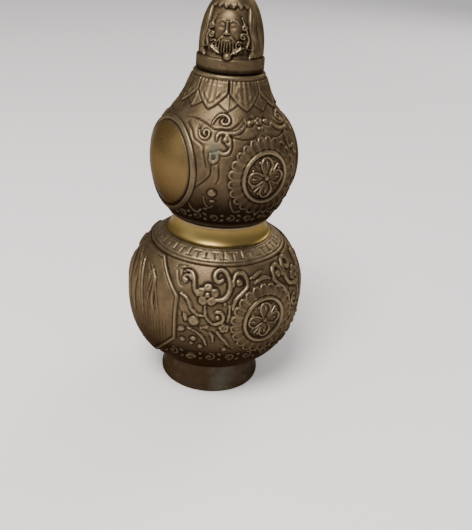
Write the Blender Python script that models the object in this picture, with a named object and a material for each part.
"""Table prayer wheel in the shape of a double gourd, cast in brass.

The lower bulb is a hollow stand on a foot ring. A fixed spindle rises from it through the
polished waist collar. The upper bulb is the wheel: a hollow drum that holds the rolled prayer
and turns on two bushes. A cap cast as a hooded head screws onto the spindle's top.

Dimensions are in millimetres; solid() scales each finished mesh to metres. The drum and the cap
turn about Z, so their objects have their origins on it. Azimuths are in degrees from the front
(-Y) towards +X.
"""

import math

import bmesh
import bpy
import numpy as np
from mathutils import Matrix, Vector

MM = 0.001
SEAT = 0.3  # gap between pieces that rest on or are fixed to each other
RUN = 0.25  # radial gap where a bush turns on the spindle
FACETS = 32  # round the bulbs and every piece as wide as they are
SMALL_FACETS = 16  # round bushes, washers and the spindle

# Foot ring, base plate and its screws
FOOT_R = 14.2
FOOT_TOP_R = 13.6
FOOT_HEIGHT = 8.7
FOOT_SKIRT = 1.2  # height of the straight edge that stands on the table
FOOT_FLARE = 2.2  # height over which the foot narrows to FOOT_TOP_R
FOOT_WALL = 1.5  # round the rebate for the plate
LEDGE = 3.0  # width of the ledge that the plate is screwed to
FOOT_SHOULDER = 1.5  # step between the foot's outside and its spigot
SPIGOT_HEIGHT = 1.9
PLATE_THICK = 1.2
PLATE_RECESS = 1.1  # how far the plate stays above the table
SCREW_COUNT = 3
SCREW_R = 0.7
SCREW_HEAD_R = 1.3
SCREW_HEAD = 0.5
SCREW_LENGTH = 3.2

# Lower bulb
LOWER_R = 24.2
LOWER_MID_RISE = 19.5  # from the bulb's lower lip to its widest point
LOWER_BELOW = 22.5  # half height of the curve under the widest point
LOWER_ABOVE = 22.0
LOWER_FULLNESS = 2.5  # power of the curve under the widest point; 2 is an ellipse
LOWER_WALL = 1.8
SHOULDER_RISE = 13.7  # from the widest point to where the sloping fret band starts
BAND_RISE = 3.1
BAND_STEP = 0.2  # how far the band's top stands outside the collar

# Waist collar
COLLAR_R = 14.4
COLLAR_SHOULDER = 2.3  # step between the collar's outside and its spigot
COVE_DEPTH = 2.0
COLLAR_HEIGHT = 5.4
COLLAR_WALL = 1.4
COLLAR_LAND = 0.4  # straight edge above the cove
DECK_THICK = 1.8
COLLAR_SPIGOT = 2.4

# Spindle, washers and nuts
SPINDLE_R = 2.0
SPINDLE_FLANGE_WIDTH = 2.0
SPINDLE_FLANGE = 1.0
SPINDLE_TAIL = 1.2  # thread that shows under the nut
THREAD_LENGTH = 5.0  # thread held by the cap
WASHER_WIDTH = 2.1
WASHER_THICK = 0.6
NUT_WALL = 1.5  # from the hole to a corner
NUT_THICK = 2.0

# Upper bulb, the drum
DRUM_R = 19.1
DRUM_MID_RISE = 15.6  # from the drum's lower rim to its widest point
DRUM_BELOW = 21.3
DRUM_ABOVE = 18.0
DRUM_WALL = 1.6
RIM_OVERLAP = 0.8  # how far the rim hangs below the collar's top
RIM_GAP = 0.5  # radial gap between the rim and the collar
RIM_WALL = 0.7
NECK_START_RISE = 11.2  # from the widest point up to where the neck begins
NECK_RISE = 11.1
NECK_R = 8.7
NECK_WALL = 1.8  # under the neck's curve
NECK_LAND = 3.5  # width of the neck's flat top, from its bore to its edge
NECK_PULL = 3.9  # length of the neck curve's handles
NECK_START_SLOPE = -0.86  # change of radius per rise
NECK_END_SLOPE = -0.33
BEAD = 0.25  # how far the bead at the neck's top stands proud
BEAD_HEIGHT = 1.1
FLOOR_THICK = 1.4

# Bushes, core tube and prayer roll
BUSH_WALL = 1.15
BUSH_FLANGE_WIDTH = 1.2
BUSH_FLANGE = 0.6
BUSH_BODY = 3.4
NECK_BUSH_FLANGE_WIDTH = 0.6
NECK_BUSH_BODY = 5.0
CORE_WALL = 0.8
ROLL_MARGIN = 2.5  # how much smaller the roll is than the mouth it goes in by
ROLL_CLEARANCE = 1.4  # between the roll's top edge and the drum's wall
TIE_R = 0.4
TIE_INSET = 4.0

# Head cap
FLANGE_INSET = 0.35  # how far the cap's flange stays inside the neck
FLANGE_HEIGHT = 2.8
FLANGE_STEP = 0.45  # between the flange and the head
CAP_STRAIGHT = 1.4
CAP_DOME = 14.2
CAP_FACETS = 24
NUT_CLEARANCE = 0.9  # above the nut, inside the cap
HOLLOW_CLEARANCE = 0.4  # round the neck bush's flange and the drum's washer
CAP_WASHER_THICK = 0.4
INSERT_WALL = 1.2
INSERT_SPARE = 1.5  # length of the insert above the spindle
BORE_SPARE = 0.5  # blind end above the insert
FACE_AZIMUTH = -10.0
FACE_LEAN = 14.0  # degrees back from upright
FACE_HALF_WIDTH = 4.6
FACE_HEIGHT = 8.4
FACE_DEPTH = 1.2
FACE_LOW = 3.2  # above the flange

# Medallions: discs and plaques at one pair of azimuths, rosettes at the other
PANEL_AZIMUTH = -58.0
ROSETTE_AZIMUTH = 34.5
DISC_R = 12.9
PLAQUE_R = 16.4
UPPER_ROSETTE_R = 10.2
LOWER_ROSETTE_R = 9.9
HUB_SHARE = 0.62  # hub disc's radius as a share of the rosette's
MEDALLION_THICK = 0.6
PLATE_STEPS = 32  # facets round a disc or a plaque
SPAN = 5.4  # longest straight step across a medallion's curved back
PETALS = 24
PETAL_WAVE = 0.07  # depth of the scallops as a share of the rosette's radius

# Radii that follow from the sizes above
PLATE_R = FOOT_R - FOOT_WALL - SEAT
FOOT_BORE_R = PLATE_R - LEDGE
SCREW_PITCH_R = PLATE_R - SCREW_HEAD_R - SEAT
LIP_MOUTH_R = FOOT_TOP_R - FOOT_SHOULDER
TOP_MOUTH_R = COLLAR_R - COLLAR_SHOULDER
COLLAR_NECK_R = COLLAR_R - COVE_DEPTH
DRUM_MOUTH_R = COLLAR_NECK_R + RIM_GAP
RIM_R = DRUM_MOUTH_R + RIM_WALL
HOLE_R = SPINDLE_R + SEAT
WASHER_R = HOLE_R + WASHER_WIDTH
NUT_R = HOLE_R + NUT_WALL
BUSH_BORE_R = SPINDLE_R + RUN
BUSH_R = BUSH_BORE_R + BUSH_WALL
CORE_R = BUSH_BORE_R + RUN + CORE_WALL
ROLL_R = DRUM_MOUTH_R - ROLL_MARGIN
NECK_BORE_R = NECK_R - NECK_LAND
NECK_FLANGE_R = NECK_BORE_R + NECK_BUSH_FLANGE_WIDTH
FLANGE_R = NECK_R - FLANGE_INSET
CAP_R = FLANGE_R - FLANGE_STEP
CAP_HOLLOW_R = max(NECK_FLANGE_R, WASHER_R) + HOLLOW_CLEARANCE
INSERT_R = HOLE_R + INSERT_WALL

# Heights, bottom to top
LIP_Z = FOOT_HEIGHT + SEAT
LOWER_MID_Z = LIP_Z + LOWER_MID_RISE
SHOULDER_Z = LOWER_MID_Z + SHOULDER_RISE
TOP_MOUTH_Z = SHOULDER_Z + BAND_RISE
COLLAR_Z = TOP_MOUTH_Z + SEAT
DECK_Z = COLLAR_Z + COLLAR_HEIGHT
FLANGE_Z = DECK_Z + SEAT
THRUST_Z = FLANGE_Z + SPINDLE_FLANGE + SEAT
BUSH_Z = THRUST_Z + WASHER_THICK + SEAT
FLOOR_Z = BUSH_Z + BUSH_FLANGE + SEAT
CORE_Z = BUSH_Z + BUSH_FLANGE + BUSH_BODY + SEAT
RIM_Z = DECK_Z - RIM_OVERLAP
DRUM_MID_Z = RIM_Z + DRUM_MID_RISE
NECK_START_Z = DRUM_MID_Z + NECK_START_RISE
NECK_Z = NECK_START_Z + NECK_RISE
NECK_BUSH_Z = NECK_Z + SEAT
DRUM_WASHER_Z = NECK_BUSH_Z + BUSH_FLANGE + SEAT
DRUM_NUT_Z = DRUM_WASHER_Z + WASHER_THICK + SEAT
CAP_WASHER_Z = NECK_Z + SEAT
CAP_Z = CAP_WASHER_Z + CAP_WASHER_THICK + SEAT
HEAD_Z = CAP_Z + FLANGE_HEIGHT
HOLLOW_TOP_Z = DRUM_NUT_Z + NUT_THICK + NUT_CLEARANCE
INSERT_Z = HOLLOW_TOP_Z + SEAT
SPINDLE_TOP_Z = INSERT_Z + THREAD_LENGTH

COLOURS = {  # base colour, roughness, metallic
    "aged_brass": ((0.30, 0.22, 0.12), 0.42, 1.0),
    "polished_brass": ((0.72, 0.55, 0.25), 0.22, 1.0),
    "worn_brass": ((0.42, 0.31, 0.15), 0.34, 1.0),
    "steel": ((0.45, 0.45, 0.44), 0.38, 1.0),
    "bronze": ((0.46, 0.27, 0.13), 0.40, 1.0),
    "leather": ((0.06, 0.04, 0.03), 0.75, 0.0),
    "paper": ((0.72, 0.62, 0.42), 0.85, 0.0),
    "thread": ((0.55, 0.08, 0.07), 0.80, 0.0),
}


class Outline:
    """A turned shape's outside as a chain of (radius, height), measured along its length."""

    def __init__(self, chain):
        self.chain = np.array(chain, float)
        steps = np.hypot(*np.diff(self.chain, axis=0).T)
        self.run = np.concatenate([[0.0], np.cumsum(steps)])
        self.widest = float(self.chain[:, 0].max())

    def at(self, run):
        radius = float(np.interp(run, self.run, self.chain[:, 0]))
        return radius, float(np.interp(run, self.run, self.chain[:, 1]))

    def run_at_height(self, height):
        return float(np.interp(height, self.chain[:, 1], self.run))

    def normal(self, run):
        reach = 0.2
        before, after = self.at(run - reach), self.at(run + reach)
        across, up = after[0] - before[0], after[1] - before[1]
        length = math.hypot(across, up)
        return up / length, -across / length


def bulb_radius(height, mid, radius, below, above, fullness):
    """Radius of a gourd's bulb at a height: half an ellipse above, a fuller curve below."""
    half, power = (above, 2.0) if height >= mid else (below, fullness)
    share = min(1.0, abs(height - mid) / half)
    return radius * (1 - share**power) ** (1 / power)


def lower_chain(count, inset=0.0, low=LIP_Z, high=SHOULDER_Z):
    """Points up the lower bulb, inset from its outside."""
    return [(bulb_radius(z, LOWER_MID_Z, LOWER_R - inset, LOWER_BELOW - inset,
                         LOWER_ABOVE - inset, LOWER_FULLNESS), z)
            for z in np.linspace(low, high, count)]


def drum_start_z(radius, inset=0.0):
    """Height under the drum's widest point where its wall has the given radius."""
    share = radius / (DRUM_R - inset)
    return DRUM_MID_Z - (DRUM_BELOW - inset) * math.sqrt(1 - share**2)


def drum_chain(count, inset=0.0, low=None):
    """Points up the drum's belly to where the neck begins."""
    low = drum_start_z(RIM_R) if low is None else low
    return [(bulb_radius(z, DRUM_MID_Z, DRUM_R - inset, DRUM_BELOW - inset,
                         DRUM_ABOVE - inset, 2.0), z)
            for z in np.linspace(low, NECK_START_Z, count)]


def neck_chain(count, inset=0.0):
    """The hollow curve from the drum's belly up to the neck, a cubic Bezier."""
    belly_r = bulb_radius(NECK_START_Z, DRUM_MID_Z, DRUM_R, DRUM_BELOW, DRUM_ABOVE, 2.0)
    start = Vector((belly_r - inset, NECK_START_Z))
    end = Vector((NECK_R - inset, NECK_Z))
    first = start + NECK_PULL * Vector((NECK_START_SLOPE, 1))
    second = end - NECK_PULL * Vector((NECK_END_SLOPE, 1))
    chain = []
    for t in np.linspace(0, 1, count):
        point = (start * (1 - t) ** 3 + first * 3 * t * (1 - t) ** 2
                 + second * 3 * t**2 * (1 - t) + end * t**3)
        chain.append((point.x, point.y))
    return chain


def material(name):
    found = bpy.data.materials.get(name)
    if found:
        return found
    colour, roughness, metallic = COLOURS[name]
    made = bpy.data.materials.new(name)
    made.use_nodes = True
    shader = made.node_tree.nodes["Principled BSDF"]
    shader.inputs["Base Color"].default_value = (*colour, 1)
    shader.inputs["Roughness"].default_value = roughness
    shader.inputs["Metallic"].default_value = metallic
    return made


def group(name):
    empty = bpy.data.objects.new(name, None)
    bpy.context.scene.collection.objects.link(empty)
    return empty


def solid(name, bm, finish, parent=None):
    """An object from a bmesh in millimetres, scaled to metres and shaded smooth."""
    bmesh.ops.recalc_face_normals(bm, faces=bm.faces)
    bmesh.ops.transform(bm, matrix=Matrix.Scale(MM, 4), verts=bm.verts)
    mesh = bpy.data.meshes.new(name)
    bm.to_mesh(mesh)
    bm.free()
    mesh.shade_smooth()
    mesh.set_sharp_from_angle(angle=math.radians(35))
    mesh.materials.append(material(finish))
    made = bpy.data.objects.new(name, mesh)
    made.parent = parent
    bpy.context.scene.collection.objects.link(made)
    return made


def turned(name, ring, finish, parent, facets=FACETS):
    """A closed outline of (radius, height) spun about Z. Points on the axis close the ends."""
    bm = bmesh.new()
    verts = [bm.verts.new((r, 0, z)) for r, z in ring]
    pairs = zip(verts, verts[1:] + verts[:1])
    edges = [bm.edges.new(pair) for pair in pairs if pair[0].co.x > 0 or pair[1].co.x > 0]
    bmesh.ops.spin(bm, geom=verts + edges, cent=(0, 0, 0), axis=(0, 0, 1),
                   angle=math.tau, steps=facets, use_merge=True)
    bmesh.ops.remove_doubles(bm, verts=bm.verts, dist=1e-4)
    return solid(name, bm, finish, parent)


def tube_ring(inner, outer, low, high):
    return [(inner, low), (outer, low), (outer, high), (inner, high)]


def cut(target, cutter, operation="DIFFERENCE"):
    """A live Boolean on target. The cutter stays as a hidden guide."""
    cutter.hide_render = True
    cutter.display_type = "WIRE"
    cutter.parent = target.parent
    boolean = target.modifiers.new(cutter.name, "BOOLEAN")
    boolean.operation = operation
    boolean.use_self = operation == "UNION"  # the added forms overlap each other
    boolean.object = cutter


def rods(name, radius, low, high, pitch_radius, count, facets=12):
    """Upright rods on a circle, in one mesh, for cutting holes."""
    bm = bmesh.new()
    for i in range(count):
        turn = Matrix.Rotation(math.tau * i / count, 4, "Z")
        place = turn @ Matrix.Translation((pitch_radius, 0, (low + high) / 2))
        bmesh.ops.create_cone(bm, cap_ends=True, segments=facets, radius1=radius,
                              radius2=radius, depth=high - low, matrix=place)
    return solid(name, bm, "steel")


def foot(stand):
    """Foot ring with a rebate for the base plate and a spigot into the lower bulb."""
    ledge_z = PLATE_RECESS + PLATE_THICK + SEAT
    rebate_r = PLATE_R + SEAT
    spigot_r = LIP_MOUTH_R - SEAT
    spigot_z = FOOT_HEIGHT + SPIGOT_HEIGHT
    ring = turned("foot_ring", [
        (rebate_r, 0), (FOOT_R, 0), (FOOT_R, FOOT_SKIRT), (FOOT_TOP_R, FOOT_SKIRT + FOOT_FLARE),
        (FOOT_TOP_R, FOOT_HEIGHT), (spigot_r, FOOT_HEIGHT), (spigot_r, spigot_z),
        (FOOT_BORE_R, spigot_z), (FOOT_BORE_R, ledge_z), (rebate_r, ledge_z)],
        "worn_brass", stand)
    plate = turned("base_plate", [
        (0, PLATE_RECESS), (PLATE_R, PLATE_RECESS), (PLATE_R, PLATE_RECESS + PLATE_THICK),
        (0, PLATE_RECESS + PLATE_THICK)], "worn_brass", stand)
    head_low = PLATE_RECESS - SEAT - SCREW_HEAD
    shank_top = head_low + SCREW_HEAD + SCREW_LENGTH
    cut(plate, rods("plate_hole_cutter", SCREW_R + SEAT, 0, ledge_z, SCREW_PITCH_R,
                    SCREW_COUNT))
    cut(ring, rods("foot_hole_cutter", SCREW_R + SEAT, ledge_z - 1, shank_top + SEAT,
                   SCREW_PITCH_R, SCREW_COUNT))
    base_screws(stand, head_low, shank_top)


def base_screws(stand, low, high):
    """One screw, modelled about its own axis, and its copies round the plate."""
    neck = low + SCREW_HEAD
    first = turned("base_screw_1", [
        (0, low), (SCREW_HEAD_R, low), (SCREW_HEAD_R, neck), (SCREW_R, neck), (SCREW_R, high),
        (0, high)], "steel", stand, 12)
    screws = [first] + [bpy.data.objects.new(f"base_screw_{i + 1}", first.data)
                        for i in range(1, SCREW_COUNT)]
    for i, screw in enumerate(screws):
        turn = Matrix.Rotation(math.tau * i / SCREW_COUNT, 3, "Z")
        screw.location = turn @ Vector((SCREW_PITCH_R * MM, 0, 0))
        screw.parent = stand
        if screw is not first:
            bpy.context.scene.collection.objects.link(screw)


def lower_bulb(stand):
    outside = lower_chain(14) + [(COLLAR_R + BAND_STEP, TOP_MOUTH_Z)]
    inside = lower_chain(8, LOWER_WALL, LIP_Z + LOWER_WALL, SHOULDER_Z - LOWER_WALL)
    ring = ([(LIP_MOUTH_R, LIP_Z)] + outside + [(TOP_MOUTH_R, TOP_MOUTH_Z)]
            + [(TOP_MOUTH_R, TOP_MOUTH_Z - LOWER_WALL)] + inside[::-1]
            + [(LIP_MOUTH_R, LIP_Z + LOWER_WALL)])
    turned("lower_bulb", ring, "aged_brass", stand)


def waist_collar(stand):
    """Polished cove between the bulbs, with a deck that carries the spindle."""
    spigot_r = TOP_MOUTH_R - SEAT
    inner_r = spigot_r - COLLAR_WALL
    cove_height = COLLAR_HEIGHT - COLLAR_LAND
    cove = []
    for t in np.linspace(0, math.pi / 2, 8):
        cove.append((COLLAR_R - COVE_DEPTH * math.sin(t),
                     COLLAR_Z + cove_height * (1 - math.cos(t))))
    ring = [(inner_r, COLLAR_Z - COLLAR_SPIGOT), (spigot_r, COLLAR_Z - COLLAR_SPIGOT),
            (spigot_r, COLLAR_Z)] + cove + [
        (COLLAR_NECK_R, DECK_Z), (HOLE_R, DECK_Z), (HOLE_R, DECK_Z - DECK_THICK),
        (inner_r, DECK_Z - DECK_THICK)]
    turned("waist_collar", ring, "polished_brass", stand)


def nut(name, low, parent):
    """Hexagonal outside, with the spindle's hole cut through it."""
    high = low + NUT_THICK
    hexagon = turned(name, [(0, low), (NUT_R, low), (NUT_R, high), (0, high)], "steel",
                     parent, 6)
    cut(hexagon, rods(f"{name}_cutter", HOLE_R, low - 1, high + 1, 0, 1, SMALL_FACETS))


def washer(name, low, parent, finish="steel"):
    turned(name, tube_ring(HOLE_R, WASHER_R, low, low + WASHER_THICK), finish, parent,
           SMALL_FACETS)


def spindle_set(stand):
    """Fixed spindle with the nut under the deck, the thrust washer and the drum's nut."""
    nut_z = DECK_Z - DECK_THICK - SEAT - WASHER_THICK - SEAT - NUT_THICK
    bottom = nut_z - SPINDLE_TAIL
    flange_r = SPINDLE_R + SPINDLE_FLANGE_WIDTH
    flange_top = FLANGE_Z + SPINDLE_FLANGE
    chamfer = SPINDLE_R / 4
    turned("spindle", [
        (0, bottom), (SPINDLE_R, bottom), (SPINDLE_R, FLANGE_Z), (flange_r, FLANGE_Z),
        (flange_r, flange_top), (SPINDLE_R, flange_top), (SPINDLE_R, SPINDLE_TOP_Z - chamfer),
        (SPINDLE_R - chamfer, SPINDLE_TOP_Z), (0, SPINDLE_TOP_Z)], "steel", stand,
        SMALL_FACETS)
    nut("spindle_nut", nut_z, stand)
    washer("spindle_washer", nut_z + NUT_THICK + SEAT, stand)
    washer("thrust_washer", THRUST_Z, stand, "bronze")
    washer("drum_washer", DRUM_WASHER_Z, stand)
    nut("drum_nut", DRUM_NUT_Z, stand)


def upper_bulb(drum):
    """The drum's shell: an open mouth below, a hollow belly and a bored neck."""
    bead_z = NECK_Z - BEAD_HEIGHT
    neck = [p for p in neck_chain(8)[1:-1] if p[1] < bead_z - SEAT]
    foot_z = drum_start_z(DRUM_MOUTH_R, DRUM_WALL)
    mouth_top = max(FLOOR_Z + FLOOR_THICK, foot_z) + SEAT
    outside = [(RIM_R, RIM_Z)] + drum_chain(12) + neck + [
        (NECK_R, bead_z), (NECK_R + BEAD, bead_z + BEAD), (NECK_R + BEAD, NECK_Z - BEAD),
        (NECK_R, NECK_Z)]
    inside = drum_chain(6, DRUM_WALL, mouth_top) + neck_chain(5, NECK_WALL)[1:-1]
    ring = ([(DRUM_MOUTH_R, RIM_Z)] + outside
            + [(NECK_BORE_R, NECK_Z), (NECK_BORE_R, inside[-1][1])]
            + inside[::-1] + [(DRUM_MOUTH_R, mouth_top)])
    turned("upper_bulb", ring, "aged_brass", drum)


def drum_fittings(drum):
    """Floor plate, two bushes, the core tube and the prayer rolled round it."""
    turned("drum_floor", tube_ring(BUSH_R + SEAT, DRUM_MOUTH_R - SEAT, FLOOR_Z,
                                   FLOOR_Z + FLOOR_THICK), "worn_brass", drum)
    flange_r = BUSH_R + BUSH_FLANGE_WIDTH
    body_z = BUSH_Z + BUSH_FLANGE
    turned("lower_bush", [
        (BUSH_BORE_R, BUSH_Z), (flange_r, BUSH_Z), (flange_r, body_z), (BUSH_R, body_z),
        (BUSH_R, body_z + BUSH_BODY), (BUSH_BORE_R, body_z + BUSH_BODY)],
        "bronze", drum, SMALL_FACETS)
    body_r = NECK_BORE_R - SEAT
    body_low = NECK_BUSH_Z - NECK_BUSH_BODY
    flange_top = NECK_BUSH_Z + BUSH_FLANGE
    turned("upper_bush", [
        (BUSH_BORE_R, body_low), (body_r, body_low), (body_r, NECK_BUSH_Z),
        (NECK_FLANGE_R, NECK_BUSH_Z), (NECK_FLANGE_R, flange_top), (BUSH_BORE_R, flange_top)],
        "bronze", drum, SMALL_FACETS)
    turned("scroll_core", tube_ring(BUSH_BORE_R + RUN, CORE_R, CORE_Z, body_low - SEAT),
           "worn_brass", drum, SMALL_FACETS)
    wall = (ROLL_R + ROLL_CLEARANCE) / (DRUM_R - DRUM_WALL)
    roll_top = DRUM_MID_Z + (DRUM_ABOVE - DRUM_WALL) * math.sqrt(1 - wall**2)
    turned("prayer_scroll", tube_ring(CORE_R + SEAT, ROLL_R, CORE_Z, roll_top), "paper", drum)
    scroll_tie("scroll_tie_lower", CORE_Z + TIE_INSET, drum)
    scroll_tie("scroll_tie_upper", roll_top - TIE_INSET, drum)


def scroll_tie(name, height, drum):
    """A cord round the roll."""
    centre_r = ROLL_R + SEAT + TIE_R
    corners = [math.tau * i / 6 for i in range(6)]
    ring = [(centre_r + TIE_R * math.cos(a), height + TIE_R * math.sin(a)) for a in corners]
    turned(name, ring, "thread", drum)


def head_cap(cap):
    """Leather washer, and the cap with its flange, domed head and face panel."""
    turned("cap_washer", tube_ring(CAP_HOLLOW_R + SEAT, CAP_R, CAP_WASHER_Z,
                                   CAP_WASHER_Z + CAP_WASHER_THICK), "leather", cap)
    dome_z = HEAD_Z + CAP_STRAIGHT
    dome = [(CAP_R * math.cos(t), dome_z + CAP_DOME * math.sin(t))
            for t in np.linspace(0, math.pi / 2, 9)[:-1]]
    bore_r = INSERT_R + SEAT
    insert_top = SPINDLE_TOP_Z + INSERT_SPARE
    bore_top = insert_top + BORE_SPARE
    ease = SEAT
    ring = [(0, CAP_Z), (FLANGE_R - ease, CAP_Z), (FLANGE_R, CAP_Z + ease),
            (FLANGE_R, HEAD_Z - ease), (FLANGE_R - ease, HEAD_Z), (CAP_R, HEAD_Z)] + dome
    head = turned("head_cap", ring + [(0, dome_z + CAP_DOME)], "aged_brass", cap, CAP_FACETS)
    cut(head, face_cutter())
    cut(head, face_features(), "UNION")
    hollow = [(0, CAP_Z - 1), (CAP_HOLLOW_R, CAP_Z - 1), (CAP_HOLLOW_R, HOLLOW_TOP_Z),
              (bore_r, HOLLOW_TOP_Z), (bore_r, bore_top), (0, bore_top)]
    cut(head, turned("cap_hollow_cutter", hollow, "aged_brass", None, CAP_FACETS))
    turned("cap_insert", tube_ring(HOLE_R, INSERT_R, INSERT_Z, insert_top), "bronze", cap,
           SMALL_FACETS)


def face_place(across, out, up):
    """A place on the face panel: it leans back with the dome and faces along local -Y."""
    turn = Matrix.Rotation(math.radians(FACE_AZIMUTH), 4, "Z")
    lean = Matrix.Rotation(math.radians(-FACE_LEAN), 4, "X")
    low = Matrix.Translation((0, -CAP_R, HEAD_Z + FACE_LOW))
    return turn @ low @ lean @ Matrix.Translation((across, -out, up))


def face_cutter():
    """A shallow panel cut across the front of the head, arched over the brow."""
    bm = bmesh.new()
    width, rise = FACE_HALF_WIDTH, FACE_HALF_WIDTH * 0.6
    outline = [(-width, 0), (width, 0)]
    for t in np.linspace(0, math.pi, 7):
        outline.append((width * math.cos(t), FACE_HEIGHT - rise + rise * math.sin(t)))
    face = bm.faces.new([bm.verts.new((x, 0, z)) for x, z in outline])
    grown = bmesh.ops.extrude_face_region(bm, geom=[face])
    outer = [v for v in grown["geom"] if isinstance(v, bmesh.types.BMVert)]
    bmesh.ops.translate(bm, vec=(0, -CAP_R, 0), verts=outer)
    bmesh.ops.transform(bm, matrix=face_place(0, -FACE_DEPTH, 0), verts=bm.verts)
    return solid("face_panel_cutter", bm, "aged_brass")


def face_features():
    """Face, nose, brow and beard as simple rounded forms that grow out of the panel."""
    bm = bmesh.new()
    width, height = FACE_HALF_WIDTH, FACE_HEIGHT
    forms = [  # across, out and up of the centre, then half sizes across, out and up
        (0.0, -1.4, 0.48 * height, 0.8 * width, 1.9, 0.48 * height),
        (0.0, 0.3, 0.44 * height, 0.13 * width, 0.8, 0.14 * height),
        (-0.3 * width, 0.1, 0.62 * height, 0.24 * width, 0.5, 0.04 * height),
        (0.3 * width, 0.1, 0.62 * height, 0.24 * width, 0.5, 0.04 * height),
        (0.0, -0.3, 0.08 * height, 0.41 * width, 1.1, 0.28 * height),
    ]
    for across, out, up, wide, deep, tall in forms:
        place = face_place(across, out, up) @ Matrix.Diagonal((wide, deep, tall, 1))
        bmesh.ops.create_icosphere(bm, subdivisions=2, radius=1, matrix=place)
    return solid("face_feature_maker", bm, "aged_brass")


def laid_plate(name, outline, radius, azimuth, height, stations, rim, parent):
    """A medallion: a plate spun in its own plane, then laid on the bulb's curve.

    stations are (share of the radius, share of the thickness) across its upper face, and
    rim holds the number of facets and a function of the angle that shapes the edge.
    """
    facets, rim_share = rim
    bm = bmesh.new()
    steps = math.ceil(radius / SPAN)
    ring = [(radius * i / steps, SEAT) for i in range(steps + 1)]
    ring += [(share * radius, SEAT + rise * MEDALLION_THICK) for share, rise in stations[::-1]]
    ring += [(0, ring[-1][1])]
    verts = [bm.verts.new((r, 0, h)) for r, h in ring]
    edges = [bm.edges.new(pair) for pair in zip(verts, verts[1:])]
    bmesh.ops.spin(bm, geom=verts + edges, cent=(0, 0, 0), axis=(0, 0, 1),
                   angle=math.tau, steps=facets, use_merge=True)
    bmesh.ops.remove_doubles(bm, verts=bm.verts, dist=1e-4)
    middle = outline.run_at_height(height)
    for vert in bm.verts:
        reach = math.hypot(vert.co.x, vert.co.y) / radius
        shape = 1 + (rim_share(math.atan2(vert.co.y, vert.co.x)) - 1) * reach
        across, up, lift = vert.co.x * shape, vert.co.y * shape, vert.co.z
        surface_r, surface_z = outline.at(middle + up)
        out, rise = outline.normal(middle + up)
        swing = math.radians(azimuth) + across / outline.widest
        r = surface_r + lift * out
        vert.co = (r * math.sin(swing), -r * math.cos(swing), surface_z + lift * rise)
    solid(name, bm, "aged_brass", parent)


def round_share(angle):
    return 1.0


def octagon_share(angle):
    """Rim of an octagon with upright sides, as a share of its corner radius."""
    sector = math.pi / 4
    return math.cos(sector / 2) / math.cos((angle + sector / 2) % sector - sector / 2)


def petal_share(angle):
    return 1 - PETAL_WAVE * (1 - math.cos(angle * PETALS)) / 2


def medallions(stand, drum):
    """Plain discs and octagonal plaques to the left of the front, rosettes to its right."""
    upper = Outline([(RIM_R, RIM_Z)] + drum_chain(120) + neck_chain(60)[1:])
    lower = Outline(lower_chain(120) + [(COLLAR_R + BAND_STEP, TOP_MOUTH_Z)])
    disc = [(0.5, 1.0), (0.86, 0.8), (0.9, 1.0), (1.0, 0.9)]
    octagon = [(0.5, 1.0), (0.95, 1.0), (1.0, 0.8)]
    rosette = [(HUB_SHARE, 0.45), (HUB_SHARE + 0.04, 1.0), (0.95, 0.9), (1.0, 0.5)]
    for place, turn in (("front", 0.0), ("rear", 180.0)):
        panel, flower = PANEL_AZIMUTH + turn, ROSETTE_AZIMUTH + turn
        laid_plate(f"upper_disc_{place}", upper, DISC_R, panel, DRUM_MID_Z, disc,
                   (PLATE_STEPS, round_share), drum)
        laid_plate(f"upper_rosette_{place}", upper, UPPER_ROSETTE_R, flower, DRUM_MID_Z,
                   rosette, (2 * PETALS, petal_share), drum)
        laid_plate(f"lower_plaque_{place}", lower, PLAQUE_R, panel, LOWER_MID_Z, octagon,
                   (PLATE_STEPS, octagon_share), stand)
        laid_plate(f"lower_rosette_{place}", lower, LOWER_ROSETTE_R, flower, LOWER_MID_Z,
                   rosette, (2 * PETALS, petal_share), stand)


def main():
    for old in list(bpy.data.objects):
        bpy.data.objects.remove(old)
    stand, drum, cap = group("stand"), group("drum"), group("cap")
    foot(stand)
    lower_bulb(stand)
    waist_collar(stand)
    spindle_set(stand)
    upper_bulb(drum)
    drum_fittings(drum)
    medallions(stand, drum)
    head_cap(cap)


main()
